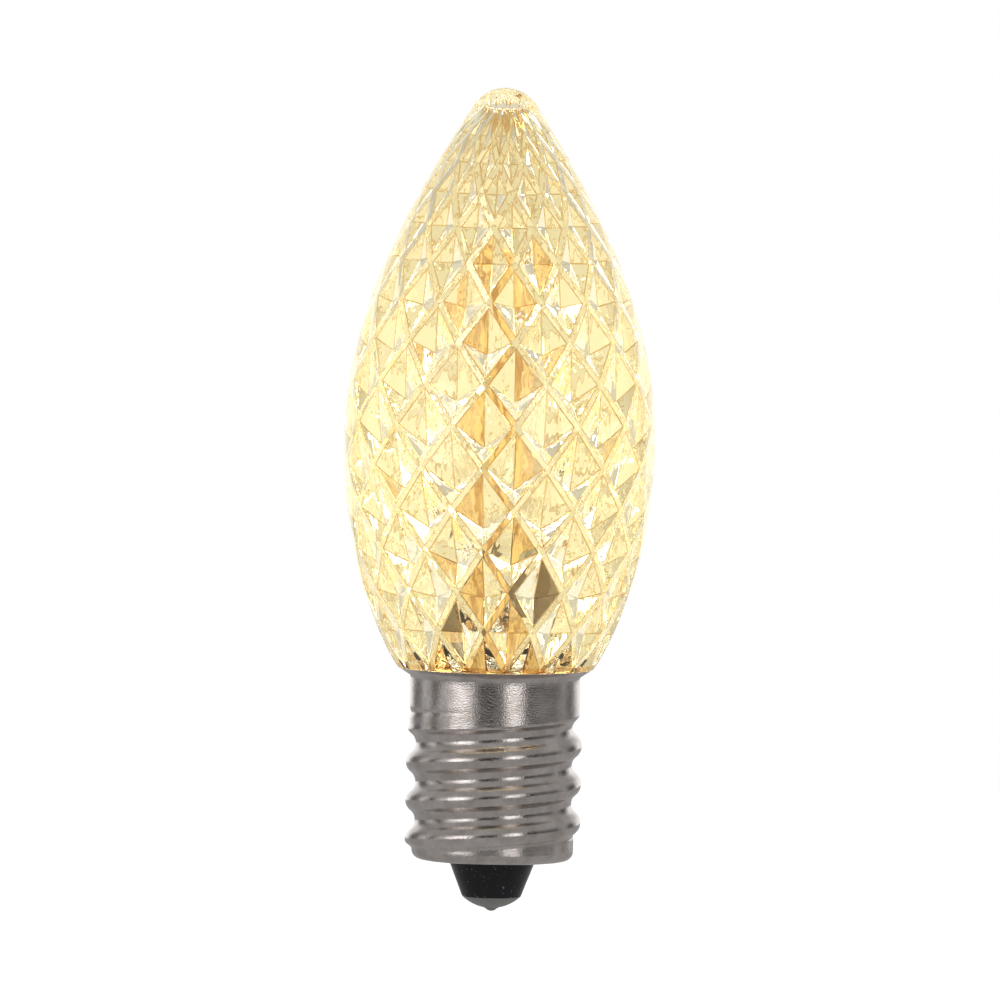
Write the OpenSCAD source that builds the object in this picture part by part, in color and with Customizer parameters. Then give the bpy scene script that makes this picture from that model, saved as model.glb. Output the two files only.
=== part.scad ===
// Screw-in festoon bulb with a clear lens that is faceted on its inside and a lit circuit board.
// The origin is the lowest point of the centre contact. +Z runs up the bulb's axis to the tip of the lens.
// Lengths are millimetres. Angles run anticlockwise from +X, seen from above.

/* [Lens] */
// Largest outside diameter of the lens
lens_d = 20.6; // [18:0.1:24]
// Height of the lens above the rim of the screw shell
lens_h = 38.3; // [35:0.1:42]
// Height of the widest ring above the rim of the screw shell
belt_h = 15; // [13.5:0.1:17]
// Radius of the rounded tip
tip_r = 2.5; // [2:0.1:3]
// Angle between the lens wall and the axis where the tip begins
tip_angle = 32; // [28:1:36]
// Clear plastic above the hollow at the tip
tip_wall = 1.7; // [1.2:0.05:2]
// Diameter of the flat top of the hollow
hollow_top_d = 1.6; // [1.2:0.1:2.2]
// Wall behind the ribs, from the widest ring down
rib_wall = 1.1; // [0.8:0.05:1.4]
// Floor of the hollow above the rim of the screw shell
floor_h = 0.35; // [0.25:0.05:0.8]
// Length of the neck that enters the screw shell
neck_h = 2.6; // [2:0.1:2.8]
// Wall of the neck
neck_wall = 0.9; // [0.7:0.05:1]

/* [Facets] */
// Number of facet cells in one ring
facet_columns = 14; // [10:1:18]
// Number of facet rows from the floor of the hollow to its top
facet_rows = 15; // [12:1:18]
// Height of the lowest facet row
first_row = 2.44; // [2.2:0.02:2.8]
// Height of the topmost facet row
last_row = 1.48; // [1.3:0.02:1.8]
// Depth of a cell's point below the ribs, at the widest ring
facet_depth = 1.1; // [0.6:0.05:1.3]
// Width of the flat ribs between the cells, from the widest ring down
rib_w = 0.4; // [0.3:0.05:0.6]
// Width of the flat ribs at the top of the hollow
rib_top_w = 0.5; // [0.3:0.05:0.7]
// How far a cell's point drops below its middle at the widest ring, as a share of the cell
point_drop = 0.26; // [0:0.02:0.3]

/* [Screw shell] */
// Crest diameter of the thread
thread_d = 11.6; // [11.56:0.01:11.89]
// Pitch of the thread
thread_pitch = 2.54; // [2.4:0.01:2.7]
// Depth of the thread, crest to root
thread_depth = 0.63; // [0.5:0.01:0.7]
// Height of the shell from its underside to its rim
shell_h = 12.67; // [12.2:0.05:14]
// Sheet thickness of the shell
shell_wall = 0.28; // [0.2:0.01:0.32]
// Diameter of the plain collar
collar_d = 11.24; // [11.1:0.02:11.5]
// Length of the plain collar under the flared rim
collar_h = 2; // [1.8:0.05:2.4]
// Outside diameter of the flared rim
rim_d = 12.88; // [12.4:0.02:13.2]
// Height of the flared rim
rim_h = 0.53; // [0.45:0.01:0.65]
// Diameter of the shell just above its bottom corner
foot_d = 10.7; // [10.5:0.05:10.9]
// Radius of the bottom corner
corner_r = 0.6; // [0.4:0.05:0.8]
// Height of the middle crest on the +X side above the underside of the shell
crest_h = 5.07; // [4.8:0.01:5.4]

/* [Contact end] */
// Visible height of the insulator under the shell
insulator_h = 2.44; // [2:0.02:2.8]
// Diameter of the insulator where it leaves the shell
insulator_top_d = 5.8; // [5.2:0.05:6.4]
// Diameter of the insulator at the contact
insulator_tip_d = 3.9; // [3.6:0.05:4.4]
// Thickness of the insulator's flange inside the shell
insulator_flange = 1.2; // [0.8:0.05:1.6]
// Height of the domed contact
contact_h = 0.79; // [0.6:0.01:1]
// Sheet thickness of the contact
contact_wall = 0.3; // [0.2:0.01:0.4]
// Outside diameter of the contact's rivet tube
rivet_d = 1.5; // [1.4:0.02:1.7]
// Height of the solder bead under the contact
bead_h = 0.2; // [0.1:0.01:0.35]
// Diameter of the solder bead
bead_d = 0.8; // [0.6:0.02:0.9]

/* [Circuit board] */
// Width of the board
board_w = 7.8; // [7:0.1:8]
// Thickness of the board
board_t = 1; // [0.8:0.05:1.2]
// Height of the board's top edge above the rim of the shell
board_top_h = 27.4; // [26:0.1:28.5]
// Depth of the board's foot inside the resin
board_foot = 2.4; // [1.6:0.1:3]
// Height of the resin plug in the shell
resin_h = 4.5; // [4:0.1:5]
// Height of the lower lamp chips above the rim of the shell
led_h = 12.4; // [11.5:0.1:13.5]
// Spacing between the lower and the upper lamp chips
led_spacing = 7; // [5:0.1:9]
// Length, width and thickness of a lamp chip
led_size = [3.5, 2.8, 0.8];
// Length, width and depth of the lit window in a lamp chip
window_size = [2.7, 2, 0.45];
// Height, width and thickness of the rectifier's body
rectifier_size = [3.9, 4.7, 1.3];
// Height of the rectifier above the rim of the shell
rectifier_h = 5.6; // [4.5:0.1:6.5]
// Width of a rectifier lead
rectifier_lead_w = 0.6; // [0.4:0.05:0.7]
// Spacing between the two leads on one side of the rectifier
rectifier_lead_gap = 2.54; // [2.2:0.01:2.7]
// Length, width and thickness of a chip resistor
resistor_size = [3.2, 1.6, 0.55];
// Height of the lowest resistor above the rim of the shell
resistor_h = 2.2; // [1.8:0.1:3]
// Spacing between the resistors
resistor_spacing = 2.5; // [2.1:0.1:2.8]
// Length of a resistor's metal end
resistor_end = 0.5; // [0.3:0.05:0.7]
// Diameter of the lead wires
wire_d = 0.5; // [0.4:0.02:0.6]

/* [Hidden] */

// Clearance between pieces that fit in one another
fit_gap = 0.05;
// Clearance round a wire in solder or resin
wire_gap = 0.03;
// Columns of the rolled shell round its circle
shell_columns = 40;
// Rows of the rolled shell in one turn of thread
rows_per_turn = 8;
// Sides of a wire's tube
tube_sides = 12;
$fn = 96;

// Heights of the main joints, from the contact up
contact_z = bead_h;
insulator_z = contact_z + contact_h;
shell_z = insulator_z + insulator_h;
rim_z = shell_z + shell_h;
collar_top_z = rim_z - rim_h;
collar_z = collar_top_z - collar_h;
belt_z = rim_z + belt_h;
tip_z = rim_z + lens_h;
floor_z = rim_z + floor_h;
hollow_top_z = tip_z - tip_wall;
corner_z = shell_z + corner_r;
flange_z = shell_z + shell_wall;
flange_top_z = flange_z + insulator_flange;
resin_top_z = flange_top_z + resin_h;
board_z = resin_top_z - board_foot;
board_top_z = rim_z + board_top_h;

// Radii that more than one piece takes
crest_r = thread_d / 2;
root_r = crest_r - thread_depth;
collar_r = collar_d / 2;
foot_r = foot_d / 2;
root_bore_r = root_r - shell_wall - fit_gap;
foot_bore_r = foot_r - shell_wall - fit_gap;
neck_r = collar_r - shell_wall - fit_gap;
neck_bore_r = neck_r - neck_wall;
rivet_r = rivet_d / 2;
rivet_wall = 0.85 * contact_wall;
rivet_bore_r = rivet_r - rivet_wall;
rivet_rim_r = rivet_r + contact_wall;
rivet_rim_h = 0.7 * contact_wall;
wire_r = wire_d / 2;

// Point on a cubic curve with end points a and d and handles b and c
function curve(a, b, c, d, t) =
    pow(1 - t, 3) * a + 3 * pow(1 - t, 2) * t * b + 3 * (1 - t) * t * t * c + pow(t, 3) * d;
// 0 below low, 1 above high and a smooth rise between
function rise(low, high, x) = let (t = max(0, min(1, (x - low) / (high - low)))) t * t * (3 - 2 * t);
function mix(a, b, t) = a + (b - a) * t;

// Lens outline, as [radius, height]: a curve up to the belt, a curve up to the tip, and the round tip
belt_r = lens_d / 2;
lens_foot_r = rim_d / 2;
tip_start = [tip_r * cos(tip_angle), tip_z - tip_r * (1 - sin(tip_angle))];
lower_handle = 8 / 15 * belt_h;
foot_handle = 1.4;
foot_angle = 40;
upper_handle = 9;
tip_handle = 6;
lower_steps = 18;
upper_steps = 24;
tip_steps = 10;

lower_outline = [for (i = [0:lower_steps - 1]) curve(
    [lens_foot_r, rim_z],
    [lens_foot_r + foot_handle * sin(foot_angle), rim_z + foot_handle * cos(foot_angle)],
    [belt_r, belt_z - lower_handle],
    [belt_r, belt_z], i / lower_steps)];
upper_outline = [for (i = [0:upper_steps - 1]) curve(
    [belt_r, belt_z],
    [belt_r, belt_z + upper_handle],
    tip_start + tip_handle * [sin(tip_angle), -cos(tip_angle)],
    tip_start, i / upper_steps)];
tip_outline = [for (i = [0:tip_steps]) let (a = mix(tip_angle, 90, i / tip_steps))
    [tip_r * cos(a), tip_z - tip_r * (1 - sin(a))]];

// Rib surface inside the lens, as [height, radius]: the wall is thickest where the taper begins
foot_thinning = 0.2;
hollow_foot_r = lens_foot_r - rib_wall / cos(foot_angle) + foot_thinning;
hollow_belt_r = belt_r - rib_wall;
hollow_top_r = hollow_top_d / 2;
hollow_handle = 7;
hollow_top_handle = [1.8, -1.75];
rib_surface = concat(
    [for (i = [0:lower_steps - 1]) let (p = curve(
        [hollow_foot_r, rim_z],
        [hollow_foot_r + foot_handle * sin(foot_angle), rim_z + foot_handle * cos(foot_angle)],
        [hollow_belt_r, belt_z - lower_handle],
        [hollow_belt_r, belt_z], i / lower_steps)) [p[1], p[0]]],
    [for (i = [0:upper_steps]) let (p = curve(
        [hollow_belt_r, belt_z],
        [hollow_belt_r, belt_z + hollow_handle],
        [hollow_top_r, hollow_top_z] + hollow_top_handle,
        [hollow_top_r, hollow_top_z], i / upper_steps)) [p[1], p[0]]]);

// Heights of the facet rows: a cubic curve from the floor to the top, with the first and the last row's heights as
// its slopes. Spare rows below the floor and above the top let a plane cut the lattice off cleanly.
spare_rows = 2;
first_row_z = floor_z + 0.08;
last_row_z = hollow_top_z - 0.15;
function row_z(k) = k < 0 ? first_row_z + k * first_row
    : k > facet_rows ? last_row_z + (k - facet_rows) * last_row
    : curve(first_row_z, first_row_z + first_row * facet_rows / 3,
            last_row_z - last_row * facet_rows / 3, last_row_z, k / facet_rows);

// Above and below the widest ring, the height at which the cells' points no longer drop
drop_reach = 11;
// Widest that a rib may be, as a share of half a cell
rib_share = 0.3;
column_step = 360 / facet_columns;
function polar(r, a, z) = [r * cos(a), r * sin(a), z];
function on_ribs(a, z) = polar(lookup(z, rib_surface), a, z);
// Rows lean a quarter of a cell to the right and to the left of the front in turn
function cell_angle(k, j) = -90 + (k % 2 == 0 ? -1 : 1) * column_step / 4 + j * column_step;

// The five corners of cell j in row k: top, right, bottom, left and the point
function cell(k, j) =
    let (a = cell_angle(k, j),
         z = row_z(k),
         up = row_z(k + 1) - z,
         down = z - row_z(k - 1),
         half_w = lookup(z, rib_surface) * sin(column_step / 2),
         half_h = (up + down) / 2,
         rib = min(mix(rib_w, rib_top_w, rise(belt_z, hollow_top_z, z)) / 2, rib_share * half_w),
         shrink = 1 - rib * norm([half_w, half_h]) / (half_w * half_h),
         drop = point_drop * max(0, cos(90 * (z - belt_z) / drop_reach)) * 2 * half_h,
         depth = facet_depth * half_w / (hollow_belt_r * sin(column_step / 2)),
         point_z = z + (up - down) / 2 - drop)
    [on_ribs(a, z + up * shrink),
     on_ribs(a + column_step / 2 * shrink, z),
     on_ribs(a, z - down * shrink),
     on_ribs(a - column_step / 2 * shrink, z),
     polar(lookup(point_z, rib_surface) - depth, a, point_z)];

// The hollow as one closed solid: pyramids that point inwards, with flat ribs between them
module faceted_hollow() {
    first = 1 - spare_rows;
    last = facet_rows + spare_rows - 1;
    n = facet_columns;
    top = 0;
    right = 1;
    bottom = 2;
    left = 3;
    point = 4;
    function at(k, j, corner) = ((k - first) * n + (j + n) % n) * 5 + corner;
    // Column of the cell to the upper right; the one to the upper left is one less
    function upper(k, j) = k % 2 == 0 ? j : j + 1;
    // Column of the cell to the lower left
    function lower(k, j) = k % 2 == 0 ? j - 1 : j;
    corners = [for (k = [first:last], j = [0:n - 1]) each cell(k, j)];
    ends = [[0, 0, row_z(first - 1)], [0, 0, row_z(last + 1)]];
    foot_end = len(corners);
    top_end = foot_end + 1;
    pyramids = [for (k = [first:last], j = [0:n - 1], c = [top:left])
        [at(k, j, c), at(k, j, (c + 1) % 4), at(k, j, point)]];
    ribs = [for (k = [first:last - 1], j = [0:n - 1]) let (u = upper(k, j)) each [
        [at(k, j, right), at(k, j, top), at(k + 1, u, left)],
        [at(k, j, right), at(k + 1, u, left), at(k + 1, u, bottom)],
        [at(k, j, top), at(k, j, left), at(k + 1, u - 1, bottom)],
        [at(k, j, top), at(k + 1, u - 1, bottom), at(k + 1, u - 1, right)]]];
    crossings = [for (k = [first:last - 2], j = [0:n - 1]) let (u = upper(k, j)) each [
        [at(k, j, top), at(k + 1, u - 1, right), at(k + 2, j, bottom)],
        [at(k, j, top), at(k + 2, j, bottom), at(k + 1, u, left)]]];
    foot_ring = [for (j = [0:n - 1]) each [
        at(first, j, left), at(first, j, bottom), at(first, j, right), at(first + 1, upper(first, j), bottom)]];
    top_ring = [for (j = [n - 1:-1:0]) each [
        at(last, j, right), at(last, j, top), at(last, j, left), at(last - 1, lower(last, j), top)]];
    foot_fan = [for (i = [0:4 * n - 1]) [foot_ring[i], foot_ring[(i + 1) % (4 * n)], foot_end]];
    top_fan = [for (i = [0:4 * n - 1]) [top_ring[i], top_ring[(i + 1) % (4 * n)], top_end]];
    polyhedron(concat(corners, ends), concat(pyramids, ribs, crossings, foot_fan, top_fan), convexity = 8);
}

// Flared rim of the shell: its slope, and where its inner side starts and ends
rim_slope = atan2(rim_h, lens_foot_r - collar_r);
rim_inner_r = lens_foot_r - shell_wall / sin(rim_slope);
rim_corner_z = collar_top_z + shell_wall * (1 - sin(rim_slope)) / cos(rim_slope);

module lens() {
    seat_r = rim_inner_r - fit_gap / sin(rim_slope);
    shoulder_z = rim_z - (seat_r - neck_r) * tan(rim_slope);
    color([1, 0.95, 0.78, 0.5])
    difference() {
        rotate_extrude()
            polygon(concat(
                [[0, rim_z - neck_h], [neck_r, rim_z - neck_h], [neck_r, shoulder_z], [seat_r, rim_z]],
                lower_outline, upper_outline, tip_outline));
        intersection() {
            faceted_hollow();
            translate([0, 0, floor_z]) cylinder(r = belt_r, h = hollow_top_z - floor_z);
        }
        translate([0, 0, rim_z - neck_h - 1]) cylinder(r = neck_bore_r, h = neck_h + floor_h + 1.5);
    }
}

// Radius of the rolled thread at angle a and height z: two equal arcs, one for the crest, one for the root
roll_r = (pow(thread_pitch / 4, 2) + pow(thread_depth / 2, 2)) / thread_depth;
function thread_radius(a, z) =
    let (x = z - shell_z - crest_h - thread_pitch * a / 360,
         t = abs(x - thread_pitch * round(x / thread_pitch)))
    t < thread_pitch / 4 ? crest_r - roll_r + sqrt(roll_r * roll_r - t * t)
    : root_r + roll_r - sqrt(roll_r * roll_r - pow(thread_pitch / 2 - t, 2));

// The groove fills up towards the foot, and the crest and the groove run out into the collar. Each fade is where it
// starts and ends: the first two as heights above the shell's underside, the others as depths below the collar.
foot_fade = [corner_r, corner_r + 0.5];
groove_fade = [1.4, 2.4];
crest_fade = [2, 1.2];
collar_fade = [1.3, 0];
function body_radius(a, z) =
    let (up = z - shell_z,
         under = z - collar_z,
         high = min(thread_radius(a, z), mix(crest_r, collar_r, rise(-crest_fade[0], -crest_fade[1], under))),
         low = max(high, mix(foot_r, root_r, rise(groove_fade[0], groove_fade[1], up))),
         run_out = mix(low, collar_r, rise(-collar_fade[0], -collar_fade[1], under)))
    mix(foot_r, run_out, rise(foot_fade[0], foot_fade[1], up));

// The outside of the sheet from the hole in its bottom up to the rim, and its inside back down
hole_r = insulator_top_d / 2 + fit_gap;
thread_rows = ceil((collar_z - corner_z) / thread_pitch * rows_per_turn);
function body_heights() = [for (i = [0:thread_rows]) mix(corner_z, collar_z, i / thread_rows)];
function corner_arc(r) = [for (b = [-90, -60, -30]) [foot_r - corner_r + r * cos(b), corner_z + r * sin(b)]];
function sheet_loop(a) =
    let (outside = concat(
            [[hole_r, shell_z]], corner_arc(corner_r),
            [for (z = body_heights()) [body_radius(a, z), z]],
            [[collar_r, collar_top_z], [lens_foot_r, rim_z]]),
         inside = concat(
            [[hole_r, flange_z]], corner_arc(corner_r - shell_wall),
            [for (z = body_heights()) [body_radius(a, z) - shell_wall, z]],
            [[collar_r - shell_wall, rim_corner_z], [rim_inner_r, rim_z]]))
    concat(outside, [for (i = [len(inside) - 1:-1:0]) inside[i]]);

module screw_shell() {
    n = shell_columns;
    m = len(sheet_loop(0));
    skin = [for (i = [0:n - 1]) let (a = 360 * i / n) for (p = sheet_loop(a)) polar(p[0], a, p[1])];
    function at(i, k) = (i % n) * m + k % m;
    faces = [for (i = [0:n - 1], k = [0:m - 1]) each [
        [at(i, k), at(i, k + 1), at(i + 1, k + 1)], [at(i, k), at(i + 1, k + 1), at(i + 1, k)]]];
    color([0.72, 0.7, 0.68]) polyhedron(skin, faces, convexity = 10);
}

// Turned form: cone, neck through the shell's bottom, and a flange with a chamfer that clears the corner
module insulator() {
    bore_r = rivet_r + fit_gap;
    seat_r = foot_r - corner_r - fit_gap;
    color([0.06, 0.06, 0.07])
    rotate_extrude() polygon([
        [bore_r, insulator_z], [insulator_tip_d / 2, insulator_z], [insulator_top_d / 2, shell_z],
        [insulator_top_d / 2, flange_z], [seat_r, flange_z], [foot_bore_r, corner_z],
        [foot_bore_r, flange_top_z], [bore_r, flange_top_z]]);
}

// Domed contact with a rivet tube that runs up through the insulator and is rolled over on top of it
module centre_contact() {
    tip = insulator_tip_d / 2;
    dome_r = (tip * tip + contact_h * contact_h) / (2 * contact_h);
    tube_foot_z = contact_z + contact_wall / 2;
    color([0.6, 0.6, 0.58])
    rotate_extrude() difference() {
        union() {
            intersection() {
                translate([0, contact_z + dome_r]) difference() {
                    circle(r = dome_r, $fn = 180);
                    circle(r = dome_r - contact_wall, $fn = 180);
                }
                translate([0, contact_z - 1]) square([tip, contact_h + 1]);
            }
            translate([0, tube_foot_z]) square([rivet_r, flange_top_z - tube_foot_z]);
            translate([0, flange_top_z]) square([rivet_rim_r, rivet_rim_h]);
        }
        translate([-tip, -1]) square([tip + rivet_bore_r, flange_top_z + 3]);
    }
}

module contact_solder() {
    bead_r = bead_d / 2;
    cap_r = (bead_r * bead_r + bead_h * bead_h) / (2 * bead_h);
    plug_h = 1.6;
    color([0.68, 0.68, 0.66])
    difference() {
        union() {
            intersection() {
                translate([0, 0, cap_r]) sphere(r = cap_r);
                cylinder(r = bead_r, h = bead_h);
            }
            translate([0, 0, bead_h]) cylinder(r = rivet_bore_r - wire_gap, h = plug_h);
        }
        translate([0, 0, wire_foot_z]) cylinder(r = wire_r + wire_gap, h = plug_h + 1);
    }
}

// Solder pads on both faces of the board, where the wires end
pad_r = 0.55;
pad_h = wire_d + 0.25;
pad_z = resin_top_z + fit_gap + pad_r;

// Round tube along a route in the XZ plane, from its points and the angle of its direction at each
module tube(route, r) {
    n = tube_sides;
    last = len(route) - 1;
    skin = [for (p = route, i = [0:n - 1]) let (a = 360 * i / n)
        [p[0] + r * cos(a) * sin(p[2]), r * sin(a), p[1] - r * cos(a) * cos(p[2])]];
    sides = [for (k = [0:last - 1], i = [0:n - 1]) let (j = (i + 1) % n) each [
        [k * n + i, (k + 1) * n + i, (k + 1) * n + j], [k * n + i, (k + 1) * n + j, k * n + j]]];
    start = [for (i = [0:n - 1]) i];
    end = [for (i = [n - 1:-1:0]) last * n + i];
    polyhedron(skin, concat([start], sides, [end]));
}

// Wire from the contact up to the front face of the board: straight, an S-bend, straight
wire_foot_z = contact_z + contact_wall;
wire_end_z = pad_z + pad_r;
wire_x = board_t / 2 + wire_r + 2 * wire_gap;
bend_r = 1;
bend_angle = acos(1 - wire_x / (2 * bend_r));
bend_z = flange_top_z + rivet_rim_h + fit_gap;
bend_top_z = bend_z + 2 * bend_r * sin(bend_angle);
contact_route = concat(
    [[0, wire_foot_z, 90]],
    [for (i = [0:5]) let (a = bend_angle * i / 5) [bend_r * (1 - cos(a)), bend_z + bend_r * sin(a), 90 - a]],
    [for (i = [4:-1:0]) let (a = bend_angle * i / 5)
        [wire_x - bend_r * (1 - cos(a)), bend_top_z - bend_r * sin(a), 90 - a]],
    [[wire_x, wire_end_z, 90]]);

module contact_lead() {
    color([0.75, 0.72, 0.68]) tube(contact_route, wire_r);
}

// Wire from the back face of the board out to the wall of the shell, level with a root of the thread
side_wire_z = shell_z + crest_h + thread_pitch;
side_wire_foot_z = pad_z - 0.4;
side_bend_r = 0.6;
solder_r = 0.7;
solder_x = root_r - shell_wall - fit_gap - solder_r;
side_route = concat(
    [[-wire_x, side_wire_foot_z, 90]],
    [for (i = [0:5]) let (a = 90 * i / 5)
        [-wire_x - side_bend_r * (1 - cos(a)), side_wire_z - side_bend_r * (1 - sin(a)), 90 + a]],
    [[-solder_x, side_wire_z, 180]]);

module shell_lead() {
    color([0.75, 0.72, 0.68]) tube(side_route, wire_r);
}

module shell_solder() {
    color([0.68, 0.68, 0.66])
    difference() {
        translate([-solder_x, 0, side_wire_z]) sphere(r = solder_r);
        translate([-solder_x - fit_gap, 0, side_wire_z]) rotate([0, 90, 0]) cylinder(r = wire_r + wire_gap, h = 1);
    }
}

// Solder where a wire meets a face of the board
module pad_solder(side) {
    difference() {
        translate([side * board_t / 2, 0, pad_z]) rotate([0, side * 90, 0]) rotate_extrude()
            polygon(concat([[0, 0]], [for (b = [0:15:90]) [pad_r * cos(b), pad_h * sin(b)]]));
        translate([side * wire_x, 0, pad_z - 1]) cylinder(r = wire_r + wire_gap, h = 2);
    }
}

module board_solder() {
    color([0.68, 0.68, 0.66]) {
        pad_solder(1);
        pad_solder(-1);
    }
}

// Fills the foot of the shell over the flange, then the bore behind the roots of the thread
module resin_plug() {
    taper_z = shell_z + mix(groove_fade[0], groove_fade[1], 0.7);
    color([0.9, 0.88, 0.82])
    difference() {
        rotate_extrude() polygon([
            [0, flange_top_z], [foot_bore_r, flange_top_z], [root_bore_r, taper_z], [root_bore_r, resin_top_z],
            [0, resin_top_z]]);
        translate([0, 0, flange_top_z - 1]) cylinder(r = rivet_rim_r + fit_gap, h = rivet_rim_h + fit_gap + 1);
        translate([-board_t / 2 - fit_gap, -board_w / 2 - fit_gap, board_z - fit_gap])
            cube([board_t + 2 * fit_gap, board_w + 2 * fit_gap, board_foot + 1]);
        tube(contact_route, wire_r + wire_gap);
    }
}

// Upright plate in the YZ plane, with rounded top corners
module circuit_board() {
    round_r = 1.5;
    h = board_top_z - board_z;
    color([0.35, 0.24, 0.12])
    translate([-board_t / 2, 0, board_z])
        rotate([90, 0, 90]) linear_extrude(board_t) {
            translate([-board_w / 2, 0]) square([board_w, h - round_r]);
            translate([-board_w / 2 + round_r, 0]) square([board_w - 2 * round_r, h]);
            for (side = [-1, 1]) translate([side * (board_w / 2 - round_r), h - round_r]) circle(r = round_r);
        }
}

// Puts a piece drawn on the XY plane, with its length along X, on a face of the board at height z
module on_board(side, z) {
    translate([side * board_t / 2, 0, z]) rotate([0, side * 90, 0]) children();
}

// Rectangle of length l and width w with cut corners
module cut_rectangle(l, w, cut) {
    polygon([[-l / 2 + cut, -w / 2], [l / 2 - cut, -w / 2], [l / 2, -w / 2 + cut], [l / 2, w / 2 - cut],
             [l / 2 - cut, w / 2], [-l / 2 + cut, w / 2], [-l / 2, w / 2 - cut], [-l / 2, -w / 2 + cut]]);
}

// Lamp chips 1 and 2 are on the -X face, 3 and 4 on the +X face, the lower one first
function led_side(i) = i <= 2 ? -1 : 1;
function led_z(i) = rim_z + led_h + (i % 2 == 1 ? 0 : led_spacing);
window_cut = 0.5;

module led(i) {
    color([0.95, 0.95, 0.92])
    on_board(led_side(i), led_z(i)) difference() {
        linear_extrude(led_size[2]) cut_rectangle(led_size[0], led_size[1], 0.15);
        translate([0, 0, led_size[2] - window_size[2]])
            linear_extrude(window_size[2] + 1) cut_rectangle(window_size[0], window_size[1], window_cut);
    }
}

module phosphor(i) {
    color([1, 0.8, 0.2])
    on_board(led_side(i), led_z(i)) translate([0, 0, led_size[2] - window_size[2]])
        linear_extrude(window_size[2] - fit_gap)
            cut_rectangle(window_size[0] - 2 * fit_gap, window_size[1] - 2 * fit_gap, window_cut);
}

// Height of the rectifier's body above the board
rectifier_stand_off = 0.1;

// Moulded body with bevelled sides and a dimple that marks its first lead
module rectifier() {
    l = rectifier_size[0];
    w = rectifier_size[1];
    t = rectifier_size[2];
    bevel = 0.25;
    belt_low = rectifier_stand_off + t * 0.45;
    belt_high = rectifier_stand_off + t * 0.55;
    top = rectifier_stand_off + t;
    dimple_d = 0.7;
    dimple_depth = 0.08;
    dimple_inset = [0.8, 1];
    color([0.09, 0.09, 0.1])
    on_board(1, rim_z + rectifier_h) difference() {
        translate([l / 2, 0, 0]) rotate([90, 0, -90]) linear_extrude(l)
            polygon([[-w / 2 + bevel, rectifier_stand_off], [w / 2 - bevel, rectifier_stand_off],
                     [w / 2, belt_low], [w / 2, belt_high], [w / 2 - bevel, top], [-w / 2 + bevel, top],
                     [-w / 2, belt_high], [-w / 2, belt_low]]);
        translate([l / 2 - dimple_inset[0], w / 2 - dimple_inset[1], top - dimple_depth])
            cylinder(d = dimple_d, h = 1, $fn = 24);
    }
}

// Four bent leads: out of the body's side, down, and flat on the board
module rectifier_leads() {
    w = rectifier_size[1];
    t = rectifier_size[2];
    sheet = 0.2;
    reach = 0.6;
    foot = 0.8;
    level = rectifier_stand_off + t / 2 - sheet / 2;
    color([0.75, 0.75, 0.74])
    on_board(1, rim_z + rectifier_h)
        for (row = [-1, 1], side = [0, 180])
            translate([row * rectifier_lead_gap / 2 + (side == 0 ? 1 : -1) * rectifier_lead_w / 2, 0, 0])
                rotate([0, 0, side]) rotate([90, 0, -90]) linear_extrude(rectifier_lead_w)
                    polygon([[-w / 2, level], [-w / 2 - reach, level], [-w / 2 - reach, 0], [-w / 2 - reach - foot, 0],
                             [-w / 2 - reach - foot, sheet], [-w / 2 - reach - sheet, sheet],
                             [-w / 2 - reach - sheet, level + sheet], [-w / 2, level + sheet]]);
}

// Ceramic block with a metal end at either side, which stands a little proud
module resistor(i) {
    l = resistor_size[0];
    w = resistor_size[1];
    t = resistor_size[2];
    proud = 0.04;
    color([0.12, 0.12, 0.13])
    on_board(-1, rim_z + resistor_h + (i - 1) * resistor_spacing) rotate([0, 0, 90]) {
        translate([-l / 2 + resistor_end / 2, -w / 2 + proud, proud])
            cube([l - resistor_end, w - 2 * proud, t - 2 * proud]);
        for (side = [0, 1]) translate([side * (l - resistor_end) - l / 2, -w / 2, 0]) cube([resistor_end, w, t]);
    }
}

lens();
screw_shell();
insulator();
centre_contact();
contact_solder();
resin_plug();
circuit_board();
for (i = [1:4]) led(i);
for (i = [1:4]) phosphor(i);
rectifier();
rectifier_leads();
for (i = [1:3]) resistor(i);
contact_lead();
shell_lead();
shell_solder();
board_solder();
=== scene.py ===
"""Looks of a screw-in festoon bulb: clear faceted lens, rolled screw shell, lit board, and a plain pale stage.

All lengths are metres in the row frame: the lowest point of the contact is at the origin and +Z runs up the axis.
Angles are in degrees, anticlockwise from +X seen from above. The front of the bulb is -Y.
"""

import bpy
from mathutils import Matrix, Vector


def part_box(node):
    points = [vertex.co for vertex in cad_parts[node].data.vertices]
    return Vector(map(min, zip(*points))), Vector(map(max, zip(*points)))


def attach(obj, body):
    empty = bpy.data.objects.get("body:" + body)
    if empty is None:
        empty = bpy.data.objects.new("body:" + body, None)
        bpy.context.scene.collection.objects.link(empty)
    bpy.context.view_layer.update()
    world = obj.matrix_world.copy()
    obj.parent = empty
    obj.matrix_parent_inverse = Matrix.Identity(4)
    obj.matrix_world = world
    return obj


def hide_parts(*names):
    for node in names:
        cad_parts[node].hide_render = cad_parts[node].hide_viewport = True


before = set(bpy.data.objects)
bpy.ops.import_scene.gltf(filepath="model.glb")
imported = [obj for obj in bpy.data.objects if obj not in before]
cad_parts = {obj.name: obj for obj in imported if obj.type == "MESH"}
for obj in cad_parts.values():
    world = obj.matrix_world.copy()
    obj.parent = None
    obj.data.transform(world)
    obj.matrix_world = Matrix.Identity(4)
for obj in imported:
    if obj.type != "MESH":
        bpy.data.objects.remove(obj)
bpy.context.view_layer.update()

import math

import bmesh
import bpy
import numpy as np
from bpy.props import FloatProperty, FloatVectorProperty, IntProperty, PointerProperty
from mathutils import Matrix, Vector

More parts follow.
